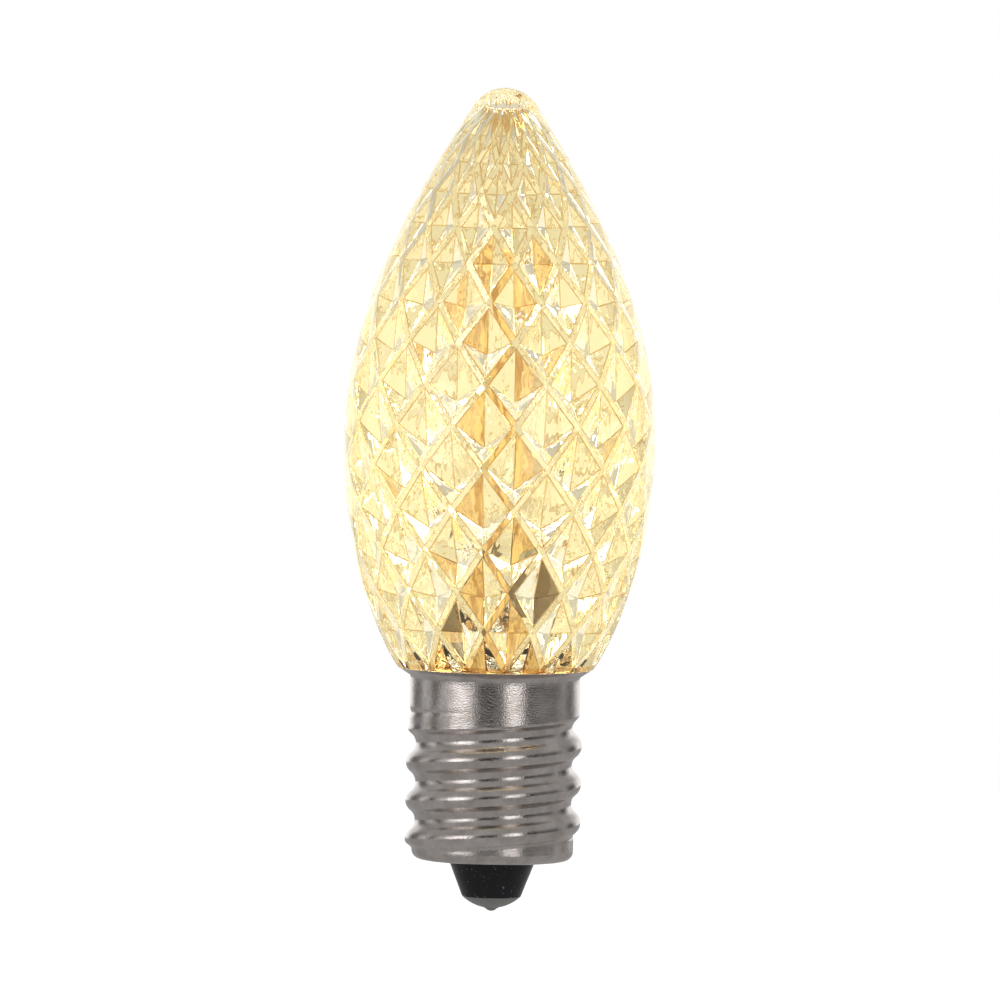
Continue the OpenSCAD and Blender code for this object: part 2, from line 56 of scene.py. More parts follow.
bl_info = {
    "name": "Festoon bulb",
    "version": (1, 0, 0),
    "blender": (4, 5, 0),
    "location": "View3D > Sidebar > Bulb",
    "description": "Builds the lens, the screw shell and the finishes of a festoon bulb round its solids",
    "category": "Add Mesh",
}

MM = 0.001


# Sizes and colours

def length(name, description, millimetres):
    """A size property, given in millimetres and kept in metres."""
    return FloatProperty(name=name, description=description, default=millimetres * MM, unit="LENGTH", precision=5)


def angle(name, description, degrees):
    """An angle property, given in degrees and kept in radians."""
    return FloatProperty(name=name, description=description, default=math.radians(degrees), subtype="ANGLE")


def number(name, description, value):
    """A plain number property from 0 up."""
    return FloatProperty(name=name, description=description, default=value, min=0)


def tint(name, description, colour):
    """A colour property without alpha."""
    return FloatVectorProperty(name=name, description=description, default=colour, subtype="COLOR", size=3,
                               min=0, max=1)


class LensSizes(bpy.types.PropertyGroup):
    """Sizes of the lens and of the facet cells on its inside."""

    diameter: length("Diameter", "Largest outside diameter", 20.6)
    height: length("Height", "Height above the rim of the shell", 38.3)
    belt_height: length("Belt height", "Height of the widest ring above the rim", 15)
    tip_radius: length("Tip radius", "Radius of the rounded tip", 2.5)
    tip_angle: angle("Tip angle", "Lean of the wall where the tip begins", 32)
    tip_wall: length("Tip wall", "Clear plastic above the hollow", 1.7)
    hollow_top: length("Hollow top", "Diameter of the flat top of the hollow", 1.6)
    rib_wall: length("Rib wall", "Wall behind the ribs from the widest ring down", 1.1)
    floor_height: length("Floor height", "Floor of the hollow above the rim", 0.35)
    neck_length: length("Neck length", "Length of the neck in the shell", 2.6)
    neck_wall: length("Neck wall", "Wall of the neck", 0.9)
    columns: IntProperty(name="Columns", description="Facet cells in one ring", default=14, min=3)
    rows: IntProperty(name="Rows", description="Facet rows from the floor of the hollow to its top", default=15, min=3)
    first_row: length("First row", "Height of the lowest facet row", 2.44)
    last_row: length("Last row", "Height of the topmost facet row", 1.48)
    facet_depth: length("Facet depth", "Depth of a cell's point at the widest ring", 1.1)
    rib_width: length("Rib width", "Width of the flat ribs from the widest ring down", 0.4)
    rib_top_width: length("Top rib width", "Width of the flat ribs at the top of the hollow", 0.5)
    point_drop: number("Point drop", "Share of a cell by which its point drops at the widest ring", 0.26)
    edge_round: length("Edge round", "Rounding of the facet edges", 0.05)


class ShellSizes(bpy.types.PropertyGroup):
    """Sizes of the rolled screw shell."""

    crest: length("Crest diameter", "Diameter over the thread", 11.6)
    pitch: length("Pitch", "Pitch of the thread", 2.54)
    depth: length("Depth", "Depth of the thread", 0.63)
    wall: length("Wall", "Sheet thickness", 0.28)
    collar: length("Collar diameter", "Diameter of the plain collar", 11.24)
    collar_length: length("Collar length", "Length of the plain collar", 2.0)
    rim: length("Rim diameter", "Diameter of the flared rim", 12.88)
    rim_height: length("Rim height", "Height of the flared rim", 0.53)
    foot: length("Foot diameter", "Diameter above the bottom corner", 10.7)
    corner: length("Corner", "Radius of the bottom corner", 0.6)
    hole: length("Hole diameter", "Hole in the shell's bottom", 5.9)
    first_crest: length("Crest height", "Height of the middle crest on the +X side above the shell's bottom", 5.07)
    columns: IntProperty(name="Columns", description="Columns of the mesh round the shell", default=200, min=16)


class Finishes(bpy.types.PropertyGroup):
    """Colours of the finishes."""

    # Painted light: the warm tint of the lens stands in for the chips' warm light in the clear plastic
    plastic: tint("Plastic", "Tint of the clear lens", (1.0, 0.93, 0.68))
    # Painted shade: the darker brown tint of the rounded facet edges and the neck stands in for the dark that
    # refraction shows there
    edge: tint("Edges", "Tint of the rounded facet edges and the neck", (0.74, 0.47, 0.18))
    # Painted glow: emission on the lens's facets, near the chips and on every facet, stands in for the chips' light
    # that the plastic scatters
    near_glow: number("Near glow", "Light that a facet near a lamp chip scatters", 0.16)
    even_glow: number("Even glow", "Light that every facet scatters", 0.03)
    glow: tint("Glow", "Light of the lamp chips", (1.0, 0.76, 0.4))
    glow_strength: number("Glow strength", "Brightness of the lit windows", 4.0)
    # Painted glow: emission in the board's fibre streaks stands in for the chips' light that leaks through it
    board_glow: number("Board glow", "Light that leaks through the board", 0.6)
    nickel: tint("Nickel", "Colour of the plated shell", (0.66, 0.605, 0.575))
    black: tint("Black", "Colour of the insulator", (0.004, 0.004, 0.005))
    solder: tint("Solder", "Colour of the solder and the contact", (0.3, 0.31, 0.29))
    mask: tint("Solder mask", "Colour of the board", (0.42, 0.26, 0.1))
    copper: tint("Tracks", "Colour of the covered tracks", (0.55, 0.36, 0.15))
    resin: tint("Resin", "Colour of the potting resin", (0.66, 0.48, 0.25))


class StageSizes(bpy.types.PropertyGroup):
    """Camera and stage."""

    distance: length("Camera distance", "Distance from the bulb's axis", 600)
    view_width: length("View width", "Width of the picture at the bulb", 66)
    elevation: angle("Elevation", "Camera above the horizon", 2.5)
    lean: angle("Lean", "Lean of the bulb in the picture", 1.04)
    aim_height: length("Aim height", "Height on the axis at the picture's middle", 27.2)
    aim_side: length("Aim side", "Place beside the axis at the picture's middle", 0.1)
    floor_depth: length("Floor depth", "Depth of the floor under the contact", 14)
    floor_reach: length("Floor reach", "Reach of the floor from the axis to each side", 300)


# Mesh tools

def cubic(a, b, c, d, steps, last=False):
    """Points on the cubic curve from a to d with handles b and c, without the end point unless last is set."""
    t = np.linspace(0, 1, steps + 1)[: steps + last, None]
    a, b, c, d = (np.asarray(p, float) for p in (a, b, c, d))
    return (1 - t) ** 3 * a + 3 * (1 - t) ** 2 * t * b + 3 * (1 - t) * t**2 * c + t**3 * d


def rise(low, high, x):
    """0 below low, 1 above high, and a smooth rise between: t squared times 3 minus 2t."""
    t = np.clip((x - low) / (high - low), 0, 1)
    return t * t * (3 - 2 * t)


def polar(r, a, z):
    """Points from radius, angle in radians and height; the three are broadcast together."""
    r, a, z = np.broadcast_arrays(r, a, z)
    return np.stack([r * np.cos(a), r * np.sin(a), z], -1)


def grid_quads(rows, columns, wrap_rows=False):
    """Quads between neighbouring rows of a grid whose columns close round the axis. Row i + 1 lies above row i."""
    i = np.arange(rows if wrap_rows else rows - 1)[:, None]
    j = np.arange(columns)[None, :]
    up, on = (i + 1) % rows, (j + 1) % columns
    corners = np.broadcast_arrays(i * columns + j, i * columns + on, up * columns + on, up * columns + j)
    return np.stack(corners, -1).reshape(-1, 4)


def revolve(profile, columns):
    """Vertices and quads of a profile of (radius, height) turned about Z: point = (r cos a, r sin a, z)."""
    a = np.arange(columns) * 2 * np.pi / columns
    verts = polar(profile[:, :1], a[None, :], profile[:, 1:])
    return verts.reshape(-1, 3), grid_quads(len(profile), columns)


def new_piece(name, verts, faces, smooth, material, stands_for, shares=None):
    """Mesh object from arrays, with doubles merged and normals outwards. It rides on the body and replaces nodes.
    shares holds named numbers, one for each face."""
    mesh = bpy.data.meshes.new(name)
    mesh.from_pydata(verts.tolist(), [], [f.tolist() for group in faces for f in group])
    mesh.polygons.foreach_set("use_smooth", np.asarray(smooth, bool))
    for key, values in (shares or {}).items():
        mesh.attributes.new(key, "FLOAT", "FACE").data.foreach_set("value", values.astype(np.float32))
    bm = bmesh.new()
    bm.from_mesh(mesh)
    bmesh.ops.remove_doubles(bm, verts=bm.verts, dist=1e-7)
    bmesh.ops.recalc_face_normals(bm, faces=bm.faces)
    if bm.calc_volume(signed=True) < 0:
        bmesh.ops.reverse_faces(bm, faces=bm.faces)
    bm.to_mesh(mesh)
    bm.free()
    mesh.update()
    piece = bpy.data.objects.new(name, mesh)
    bpy.context.scene.collection.objects.link(piece)
    mesh.materials.append(material)
    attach(piece, "root")
    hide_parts(*stands_for)
    return piece


def by_angle(verts, ring):
    """The vertex numbers of a ring in order of angle round the axis."""
    return ring[np.argsort(np.arctan2(verts[ring, 1], verts[ring, 0]))]


def cut_above(verts, tris, height):
    """Keeps the part of a triangle mesh above a level plane. Returns vertices, triangles and the cut's rim by angle."""
    above = verts[:, 2] > height
    count = above[tris].sum(1)
    one, two = tris[count == 1], tris[count == 2]
    one = one[np.arange(len(one))[:, None], (np.argmax(above[one], 1)[:, None] + np.arange(3)) % 3]
    two = two[np.arange(len(two))[:, None], (np.argmin(above[two], 1)[:, None] + np.arange(3)) % 3]
    # Each crossed edge as (vertex above, vertex below)
    edges = np.concatenate([one[:, [0, 1]], one[:, [0, 2]], two[:, [1, 0]], two[:, [2, 0]]])
    edges, place = np.unique(edges, axis=0, return_inverse=True)
    place = place.reshape(-1) + len(verts)
    p, q = verts[edges[:, 0]], verts[edges[:, 1]]
    share = (height - p[:, 2:]) / (q[:, 2:] - p[:, 2:])
    fresh = p + share * (q - p)
    n, m = len(one), len(two)
    a, b, c, d = place[:n], place[n:2 * n], place[2 * n:2 * n + m], place[2 * n + m:]
    tris = np.concatenate([
        tris[count == 3],
        np.stack([one[:, 0], a, b], 1),
        np.stack([c, two[:, 1], two[:, 2]], 1),
        np.stack([c, two[:, 2], d], 1),
    ])
    rim = np.arange(len(fresh)) + len(verts)
    verts = np.concatenate([verts, fresh])
    return verts, tris, by_angle(verts, rim)


def join_rings(verts, ring_a, ring_b):
    """Triangles between two rings of vertex numbers, both in order of angle. Each vertex in turn makes one triangle
    with the vertex before it on its own ring and the latest one on the other ring."""
    both = np.concatenate([ring_a, ring_b])
    from_a = np.arange(len(both)) < len(ring_a)
    order = np.argsort(np.arctan2(verts[both, 1], verts[both, 0]), kind="stable")
    both, from_a = both[order], from_a[order]
    latest_a = (np.cumsum(from_a) - 1) % len(ring_a)
    latest_b = (np.cumsum(~from_a) - 1) % len(ring_b)
    before_a, before_b = (latest_a - 1) % len(ring_a), (latest_b - 1) % len(ring_b)
    on_a = np.stack([ring_a[before_a], both, ring_b[latest_b]], 1)
    on_b = np.stack([both, ring_b[before_b], ring_a[latest_a]], 1)
    return np.where(from_a[:, None], on_a, on_b)


# Lens

FOOT_LEAN = math.radians(40)  # Lean of the lens where it leaves the rim of the shell
FIT = 0.05 * MM  # Room between the neck and the shell
SKIN_COLUMNS, BORE_COLUMNS = 192, 96  # Columns of the outside and of the bore
FACETS = 3  # Place of the facets in the list of the lens's faces, after what is smooth


def lens_heights(s, rim_z):
    """Heights of the belt, the tip, the hollow's floor and the hollow's top."""
    tip_z = rim_z + s.height
    return rim_z + s.belt_height, tip_z, rim_z + s.floor_height, tip_z - s.tip_wall


def foot_curve(s, foot_r, belt_r, rim_z, steps):
    """Cubic as (radius, height) from the rim, which it leaves at the lean of the foot with a handle of 1.4 mm, to the
    belt, which it meets upright with a handle of 8/15 of the belt's height."""
    belt_z, handle = rim_z + s.belt_height, 1.4 * MM
    return cubic([foot_r, rim_z], [foot_r + handle * math.sin(FOOT_LEAN), rim_z + handle * math.cos(FOOT_LEAN)],
                 [belt_r, belt_z - s.belt_height * 8 / 15], [belt_r, belt_z], steps)


def lens_outline(s, rim_z):
    """Outside of the lens as (radius, height) from the rim up: a cubic to the belt, a cubic to the tip, whose handles
    are 9 mm and 6 mm long, and a round tip."""
    belt_z, tip_z, _, _ = lens_heights(s, rim_z)
    belt_r, foot_r = s.diameter / 2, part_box("screw_shell")[1].x
    c, d = math.cos(s.tip_angle), math.sin(s.tip_angle)
    start = np.array([s.tip_radius * c, tip_z - s.tip_radius * (1 - d)])
    lower = foot_curve(s, foot_r, belt_r, rim_z, 60)
    upper = cubic([belt_r, belt_z], [belt_r, belt_z + 9 * MM], start + 6 * MM * np.array([d, -c]), start, 80)
    a = np.linspace(s.tip_angle, np.pi / 2, 25)[:-1]
    tip = np.stack([s.tip_radius * np.cos(a), tip_z - s.tip_radius * (1 - np.sin(a))], 1)
    return np.concatenate([lower, upper, tip])


def rib_surface(s, rim_z):
    """Surface that the ribs lie on, as rising heights and their radii: a cubic to the belt and a cubic to the hollow's
    top, with a handle of 7 mm at the belt and one that leans out by 1.8 mm and down by 1.75 mm at the top. The foot
    lies 0.2 mm further out than the wall would put it."""
    belt_z, _, _, top_z = lens_heights(s, rim_z)
    foot_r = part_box("screw_shell")[1].x - s.rib_wall / math.cos(FOOT_LEAN) + 0.2 * MM
    belt_r, top_r = s.diameter / 2 - s.rib_wall, s.hollow_top / 2
    lower = foot_curve(s, foot_r, belt_r, rim_z, 18)
    upper = cubic([belt_r, belt_z], [belt_r, belt_z + 7 * MM], [top_r + 1.8 * MM, top_z - 1.75 * MM], [top_r, top_z],
                  24, last=True)
    curve = np.concatenate([lower, upper])
    return curve[:, 1], curve[:, 0]


def row_heights(s, rim_z, first, last):
    """Heights of the facet rows: a cubic from just above the hollow's floor to just below its top, whose slopes at the
    ends are the heights of the first and the last row, and even steps beyond the ends."""
    _, _, floor_z, top_z = lens_heights(s, rim_z)
    start, end = floor_z + 0.08 * MM, top_z - 0.15 * MM
    after_start, before_end = start + s.first_row * s.rows / 3, end - s.last_row * s.rows / 3
    inside = cubic([start], [after_start], [before_end], [end], s.rows, last=True)[:, 0]
    k = np.arange(first, last + 1)
    return np.where(k < 0, start + k * s.first_row,
                    np.where(k > s.rows, end + (k - s.rows) * s.last_row, inside[np.clip(k, 0, s.rows)]))


def facet_lattice(s, rim_z):
    """Facet cells as vertices and triangles. Cell (k, j) has its middle at height z(k) and angle
    -90 -+ step / 4 + j step, four corners on the rib surface drawn in by half a rib, and a point below that surface.
    The points drop most at the belt, by a cosine that ends 11 mm above and below it. One row more than the hollow
    holds is made at each end, for the cuts."""
    n, first, last = s.columns, -1, s.rows + 1
    z_rib, r_rib = rib_surface(s, rim_z)
    belt_z, _, _, top_z = lens_heights(s, rim_z)
    heights = row_heights(s, rim_z, first - 1, last + 1)
    steps = np.diff(heights)
    k, j = np.meshgrid(np.arange(first, last + 1), np.arange(n), indexing="ij")
    z, up, down = (np.repeat(h[:, None], n, 1) for h in (heights[1:-1], steps[1:], steps[:-1]))
    step = 2 * np.pi / n
    a = -np.pi / 2 + np.where(k % 2 == 0, -1, 1) * step / 4 + j * step
    half_w, half_h = np.interp(z, z_rib, r_rib) * np.sin(step / 2), (up + down) / 2
    width = s.rib_width + (s.rib_top_width - s.rib_width) * rise(belt_z, top_z, z)
    widest_share, drop_reach = 0.3, 11 * MM
    rib = np.minimum(width / 2, widest_share * half_w)
    shrink = 1 - rib * np.hypot(half_w, half_h) / (half_w * half_h)
    drop = s.point_drop * np.maximum(0, np.cos(np.pi / 2 * (z - belt_z) / drop_reach)) * 2 * half_h
    depth = s.facet_depth * half_w / ((s.diameter / 2 - s.rib_wall) * np.sin(step / 2))
    point_z = z + (up - down) / 2 - drop

    def on_ribs(angle, height):
        return polar(np.interp(height, z_rib, r_rib), angle, height)

    cells = np.stack([on_ribs(a, z + up * shrink), on_ribs(a + step / 2 * shrink, z), on_ribs(a, z - down * shrink),
                      on_ribs(a - step / 2 * shrink, z),
                      polar(np.interp(point_z, z_rib, r_rib) - depth, a, point_z)], 2)

    def at(k, j, corner):
        """Number of a cell's vertex."""
        return ((k - first) * n + j % n) * 5 + corner

    top, right, bottom, left, point = range(5)
    pyramids = [np.stack([at(k, j, c), at(k, j, (c + 1) % 4), at(k, j, point)], -1) for c in range(4)]
    lower, col = k[:-1], j[:-1]
    u = np.where(lower % 2 == 0, col, col + 1)
    ribs = [
        np.stack([at(lower, col, right), at(lower, col, top), at(lower + 1, u, left)], -1),
        np.stack([at(lower, col, right), at(lower + 1, u, left), at(lower + 1, u, bottom)], -1),
        np.stack([at(lower, col, top), at(lower, col, left), at(lower + 1, u - 1, bottom)], -1),
        np.stack([at(lower, col, top), at(lower + 1, u - 1, bottom), at(lower + 1, u - 1, right)], -1),
    ]
    lower, col = k[:-2], j[:-2]
    u = np.where(lower % 2 == 0, col, col + 1)
    crossings = [
        np.stack([at(lower, col, top), at(lower + 1, u - 1, right), at(lower + 2, col, bottom)], -1),
        np.stack([at(lower, col, top), at(lower + 2, col, bottom), at(lower + 1, u, left)], -1),
    ]
    return cells.reshape(-1, 3), np.concatenate([f.reshape(-1, 3) for f in pyramids + ribs + crossings])


def lens_mesh(s, shell):
    """Closed surface of the lens: outline turned about Z, facets cut off level at the hollow's floor and top,
    the bore of the neck and its end ring. Returns vertices, a list of face arrays and a smooth flag for each face."""
    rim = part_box("screw_shell")[1]
    rim_r, rim_z = rim.x, rim.z
    _, _, floor_z, top_z = lens_heights(s, rim_z)
    collar_r = shell.collar / 2
    slope = math.atan2(shell.rim_height, rim_r - collar_r)
    neck_r = collar_r - shell.wall - FIT
    bore_r = neck_r - s.neck_wall
    seat_r = rim_r - shell.wall / math.sin(slope) - FIT / math.sin(slope)
    neck_z = rim_z - s.neck_length
    neck = [[neck_r, neck_z], [neck_r, rim_z - (seat_r - neck_r) * math.tan(slope)], [seat_r, rim_z]]
    skin, quads = revolve(np.concatenate([neck, lens_outline(s, rim_z)]), SKIN_COLUMNS)
    tip = len(skin)
    skin = np.concatenate([skin, [[0, 0, rim_z + s.height]]])
    last_ring = tip - SKIN_COLUMNS + np.arange(SKIN_COLUMNS)
    tip_fan = np.stack([last_ring, np.roll(last_ring, -1), np.full(SKIN_COLUMNS, tip)], 1)

    cells, tris = facet_lattice(s, rim_z)
    cells, tris, floor_rim = cut_above(cells, tris, floor_z)
    cells = cells * [1, 1, -1]
    cells, tris, top_rim = cut_above(cells, tris, -top_z)
    cells = cells * [1, 1, -1]
    used = np.unique(tris)
    renumber = np.zeros(len(cells), int)
    renumber[used] = np.arange(len(used)) + len(skin)
    tris, floor_rim, top_rim = renumber[tris], renumber[floor_rim], renumber[top_rim]
    verts = np.concatenate([skin, cells[used]])
    centre = len(verts)
    verts = np.concatenate([verts, [[0, 0, top_z]]])
    top_fan = np.stack([top_rim, np.roll(top_rim, -1), np.full(len(top_rim), centre)], 1)

    # A small turn of the bore keeps its vertices off the angles of the others
    a = np.arange(BORE_COLUMNS) * 2 * np.pi / BORE_COLUMNS + 0.01
    bore_top = len(verts) + np.arange(BORE_COLUMNS)
    bore_foot = bore_top + BORE_COLUMNS
    verts = np.concatenate([verts, polar(bore_r, a, floor_z), polar(bore_r, a, neck_z)])
    hollow_floor = join_rings(verts, floor_rim, by_angle(verts, bore_top))
    neck_end = join_rings(verts, by_angle(verts, bore_foot), by_angle(verts, np.arange(SKIN_COLUMNS)))
    bore = np.stack([bore_top, np.roll(bore_top, -1), np.roll(bore_foot, -1), bore_foot], 1)
    faces = [quads, tip_fan, bore, tris, top_fan, hollow_floor, neck_end]
    smooth = np.concatenate([np.full(len(f), i < FACETS) for i, f in enumerate(faces)])
    return verts, faces, smooth


def lamp_light(centres, normals):
    """Light that the lamp chips throw on each face: the sum over the chips of the two cosines over distance squared,
    with 1 for a face 6 mm in front of a chip and square to it. The chips face +X and -X. A least cosine on each side
    stands for the light that goes round inside the lens."""
    light = np.zeros(len(centres))
    least_leaving, least_landing, near = 0.12, 0.15, 6 * MM
    for name in (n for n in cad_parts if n.startswith("phosphor")):
        low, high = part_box(name)
        place = np.array((low + high) / 2)
        way = centres - place
        far = np.linalg.norm(way, axis=1)
        leaves = np.maximum(least_leaving, way[:, 0] * np.sign(place[0]) / far)
        lands = np.maximum(least_landing, np.abs((way * normals).sum(1)) / far)
        light += leaves * lands * (near / far) ** 2
    return light


# Screw shell

def body_radius(s, a, z, shell_z, rim_z):
    """Radius of the rolled sheet at angle a (radians) and height z. The thread is two equal arcs, crest and root, whose
    height rises one pitch in a turn. It fades into the foot from 2.4 mm to 1.4 mm above the shell's bottom, and its
    crests and then all of it into the plain collar over the last 2 mm below that."""
    crest_r, root_r, collar_r, foot_r = s.crest / 2, s.crest / 2 - s.depth, s.collar / 2, s.foot / 2
    collar_z = rim_z - s.rim_height - s.collar_length
    roll = ((s.pitch / 4) ** 2 + (s.depth / 2) ** 2) / s.depth
    x = z - shell_z - s.first_crest - s.pitch * a / (2 * np.pi)
    t = np.abs(x - s.pitch * np.round(x / s.pitch))
    thread = np.where(t < s.pitch / 4,
                      crest_r - roll + np.sqrt(np.maximum(0, roll**2 - t**2)),
                      root_r + roll - np.sqrt(np.maximum(0, roll**2 - (s.pitch / 2 - t) ** 2)))
    fade = rise(shell_z + 1.4 * MM, shell_z + 2.4 * MM, z)
    low = np.maximum(thread, foot_r + (root_r - foot_r) * fade)
    high = np.minimum(low, crest_r + (collar_r - crest_r) * rise(collar_z - 2 * MM, collar_z - 1.2 * MM, z))
    out = high + (collar_r - high) * rise(collar_z - 1.3 * MM, collar_z, z)
    return foot_r + (out - foot_r) * rise(shell_z + s.corner, shell_z + s.corner + 0.5 * MM, z)


def shell_mesh(s):
    """Closed sheet: for each angle a loop of (radius, height) from the hole in the bottom round the corner, up the
    thread and the collar to the flared rim, and back down one wall thickness further in."""
    low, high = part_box("screw_shell")
    shell_z, rim_z, rim_r = low.z, high.z, high.x
    collar_top, corner_z = rim_z - s.rim_height, shell_z + s.corner
    collar_r, foot_r, hole_r = s.collar / 2, s.foot / 2, s.hole / 2
    slope = math.atan2(s.rim_height, rim_r - collar_r)
    hole_round, rim_round, rim_edge, bend = 0.05 * MM, 0.03 * MM, 0.07 * MM, 0.12 * MM
    a = np.arange(s.columns) * 2 * np.pi / s.columns
    heights = np.linspace(corner_z, collar_top - s.collar_length, 110)[:, None]
    body = body_radius(s, a[None, :], heights, shell_z, rim_z)

    def ring(r, z):
        return polar(np.full(s.columns, r), a, z)[None]

    def arc(r, centre_r, centre_z, start, end, steps):
        b = np.radians(np.linspace(start, end, steps))[:, None]
        return polar(centre_r + r * np.cos(b), a[None, :], centre_z + r * np.sin(b))

    outside = [ring(hole_r + hole_round, shell_z), arc(s.corner, foot_r - s.corner, corner_z, -90, 0, 12)[:-1],
               polar(body, a[None, :], heights)]
    outside += [ring(collar_r, z) for z in np.linspace(heights[-1, 0] + 0.2 * MM, collar_top - bend, 6)]
    turn = bend * math.tan(slope / 2)
    outside += [ring(collar_r + turn * 0.3, collar_top + turn * 0.1),
                ring(rim_r - rim_edge, rim_z - rim_edge * math.tan(slope)),
                ring(rim_r, rim_z - rim_round), ring(rim_r - rim_round, rim_z)]
    inner_r = rim_r - s.wall / math.sin(slope)
    inner_corner = collar_top + s.wall * (1 - math.sin(slope)) / math.cos(slope)
    inside = [ring(hole_r + hole_round, shell_z + s.wall),
              arc(s.corner - s.wall, foot_r - s.corner, corner_z, -90, 0, 6)[:-1],
              polar(body[::4] - s.wall, a[None, :], heights[::4])]
    inside += [ring(collar_r - s.wall, inner_corner), ring(inner_r, rim_z)]
    lip = [ring(hole_r, shell_z + hole_round), ring(hole_r, shell_z + s.wall - hole_round)]
    loops = np.concatenate(outside + [x[::-1] for x in inside[::-1]] + lip[::-1])
    return loops.reshape(-1, 3), grid_quads(len(loops), s.columns, wrap_rows=True)


# Materials

def fresh_material(name):
    """Node material with a Principled shader. Returns the material, its tree and the shader."""
    material = bpy.data.materials.new(name)
    material.use_nodes = True
    tree = material.node_tree
    return material, tree, tree.nodes["Principled BSDF"]


def object_noise(tree, scale, detail=4.0, roughness=0.5, stretch=(1, 1, 1)):
    """Noise on Object coordinates with a size in 1/metre. Returns its factor output."""
    where = tree.nodes.new("ShaderNodeTexCoord")
    mapping = tree.nodes.new("ShaderNodeMapping")
    mapping.inputs["Scale"].default_value = stretch
    noise = tree.nodes.new("ShaderNodeTexNoise")
    noise.inputs["Scale"].default_value = scale
    noise.inputs["Detail"].default_value = detail
    noise.inputs["Roughness"].default_value = roughness
    tree.links.new(where.outputs["Object"], mapping.inputs["Vector"])
    tree.links.new(mapping.outputs["Vector"], noise.inputs["Vector"])
    return noise.outputs["Fac"]


def ramp(tree, factor, low, high, first, second):
    """Colour ramp from the first colour at low to the second at high."""
    node = tree.nodes.new("ShaderNodeValToRGB")
    node.color_ramp.elements[0].position = low
    node.color_ramp.elements[1].position = high
    node.color_ramp.elements[0].color = (*first, 1)
    node.color_ramp.elements[1].color = (*second, 1)
    tree.links.new(factor, node.inputs["Fac"])
    return node.outputs["Color"]


def scaled(tree, factor, low, high):
    """Factor from 0 to 1 mapped to a range of values."""
    node = tree.nodes.new("ShaderNodeMapRange")
    node.inputs["To Min"].default_value = low
    node.inputs["To Max"].default_value = high
    tree.links.new(factor, node.inputs["Value"])
    return node.outputs["Result"]


def maths(tree, operation, *values):
    """Math node on numbers and sockets. Returns its output."""
    node = tree.nodes.new("ShaderNodeMath")
    node.operation = operation
    for socket, value in zip(node.inputs, values):
        if isinstance(value, (int, float)):
            socket.default_value = value
        else:
            tree.links.new(value, socket)
    return node.outputs[0]


def mixed(tree, factor, first, second):
    """Mix of two shaders by a factor socket. Returns its output."""
    node = tree.nodes.new("ShaderNodeMixShader")
    tree.links.new(factor, node.inputs["Fac"])
    tree.links.new(first, node.inputs[1])
    tree.links.new(second, node.inputs[2])
    return node.outputs[0]


def face_share(tree, name):
    """Number that the mesh keeps for each face."""
    node = tree.nodes.new("ShaderNodeAttribute")
    node.attribute_name = name
    return node.outputs["Fac"]


def bumped(tree, shader, height, strength, distance):
    """Bump on a shader from a height between 0 and 1. Returns its node."""
    node = tree.nodes.new("ShaderNodeBump")
    node.inputs["Strength"].default_value = strength
    node.inputs["Distance"].default_value = distance
    tree.links.new(height, node.inputs["Height"])
    tree.links.new(node.outputs["Normal"], shader.inputs["Normal"])
    return node


def clear_plastic(name, colour):
    """Clear moulded plastic with a faint tint. Returns the material, its tree and the shader."""
    material, tree, shader = fresh_material(name)
    shader.inputs["Base Color"].default_value = (*colour, 1)
    shader.inputs["Transmission Weight"].default_value = 1.0
    shader.inputs["IOR"].default_value = 1.5
    shader.inputs["Roughness"].default_value = 0.0
    return material, tree, shader


def lit_plastic(f):
    """Clear plastic of the lens with a painted glow on its facets: emission that stands in for the chips' light, which
    the plastic scatters.
    """
    # The warm tint is painted light, for the chips' warm light in the plastic
    material, tree, shader = clear_plastic("clear_plastic", f.plastic)
    inside = face_share(tree, "inside")
    even = maths(tree, "MULTIPLY", inside, f.even_glow)
    level = maths(tree, "MULTIPLY_ADD", face_share(tree, "lamp_light"), f.near_glow, even)
    # Painted glow: each facet emits in a warm colour by the chips' light that it gets, plus an even share
    shader.inputs["Emission Color"].default_value = (1.0, 0.84, 0.5, 1)
    tree.links.new(level, shader.inputs["Emission Strength"])
    # Faint waves that moulding leaves in the facets, and only there
    waves = object_noise(tree, 900, 2, 0.5, (1, 1, 0.5))
    bump = bumped(tree, shader, waves, 1.0, 0.06 * MM)
    tree.links.new(inside, bump.inputs["Strength"])
    return material


def plated_steel(f):
    """Nickel plate: fine grain in the plate, faint stains and a soft shine."""
    material, tree, shader = fresh_material("nickel_plate")
    stains = object_noise(tree, 700, 3, 0.6)
    grain = object_noise(tree, 12000, 1, 0.5)
    stained = tuple(np.array(f.nickel) * (0.76, 0.75, 0.73))
    tree.links.new(ramp(tree, stains, 0.35, 0.65, stained, tuple(f.nickel)), shader.inputs["Base Color"])
    shader.inputs["Metallic"].default_value = 1.0
    tree.links.new(scaled(tree, stains, 0.03, 0.1), shader.inputs["Roughness"])
    bumped(tree, shader, grain, 0.4, 0.03 * MM)
    return material


def plain(name, colour, roughness, metallic=0.0):
    """Finish with slight variation in colour and gloss and a fine bump."""
    material, tree, shader = fresh_material(name)
    grain = object_noise(tree, 3000, 3, 0.55)
    colour = np.array(colour)
    tree.links.new(ramp(tree, grain, 0.3, 0.7, tuple(colour * 0.85), tuple(colour)), shader.inputs["Base Color"])
    shader.inputs["Metallic"].default_value = metallic
    tree.links.new(scaled(tree, grain, roughness * 0.8, roughness * 1.2), shader.inputs["Roughness"])
    bumped(tree, shader, grain, 0.1, 0.02 * MM)
    return material


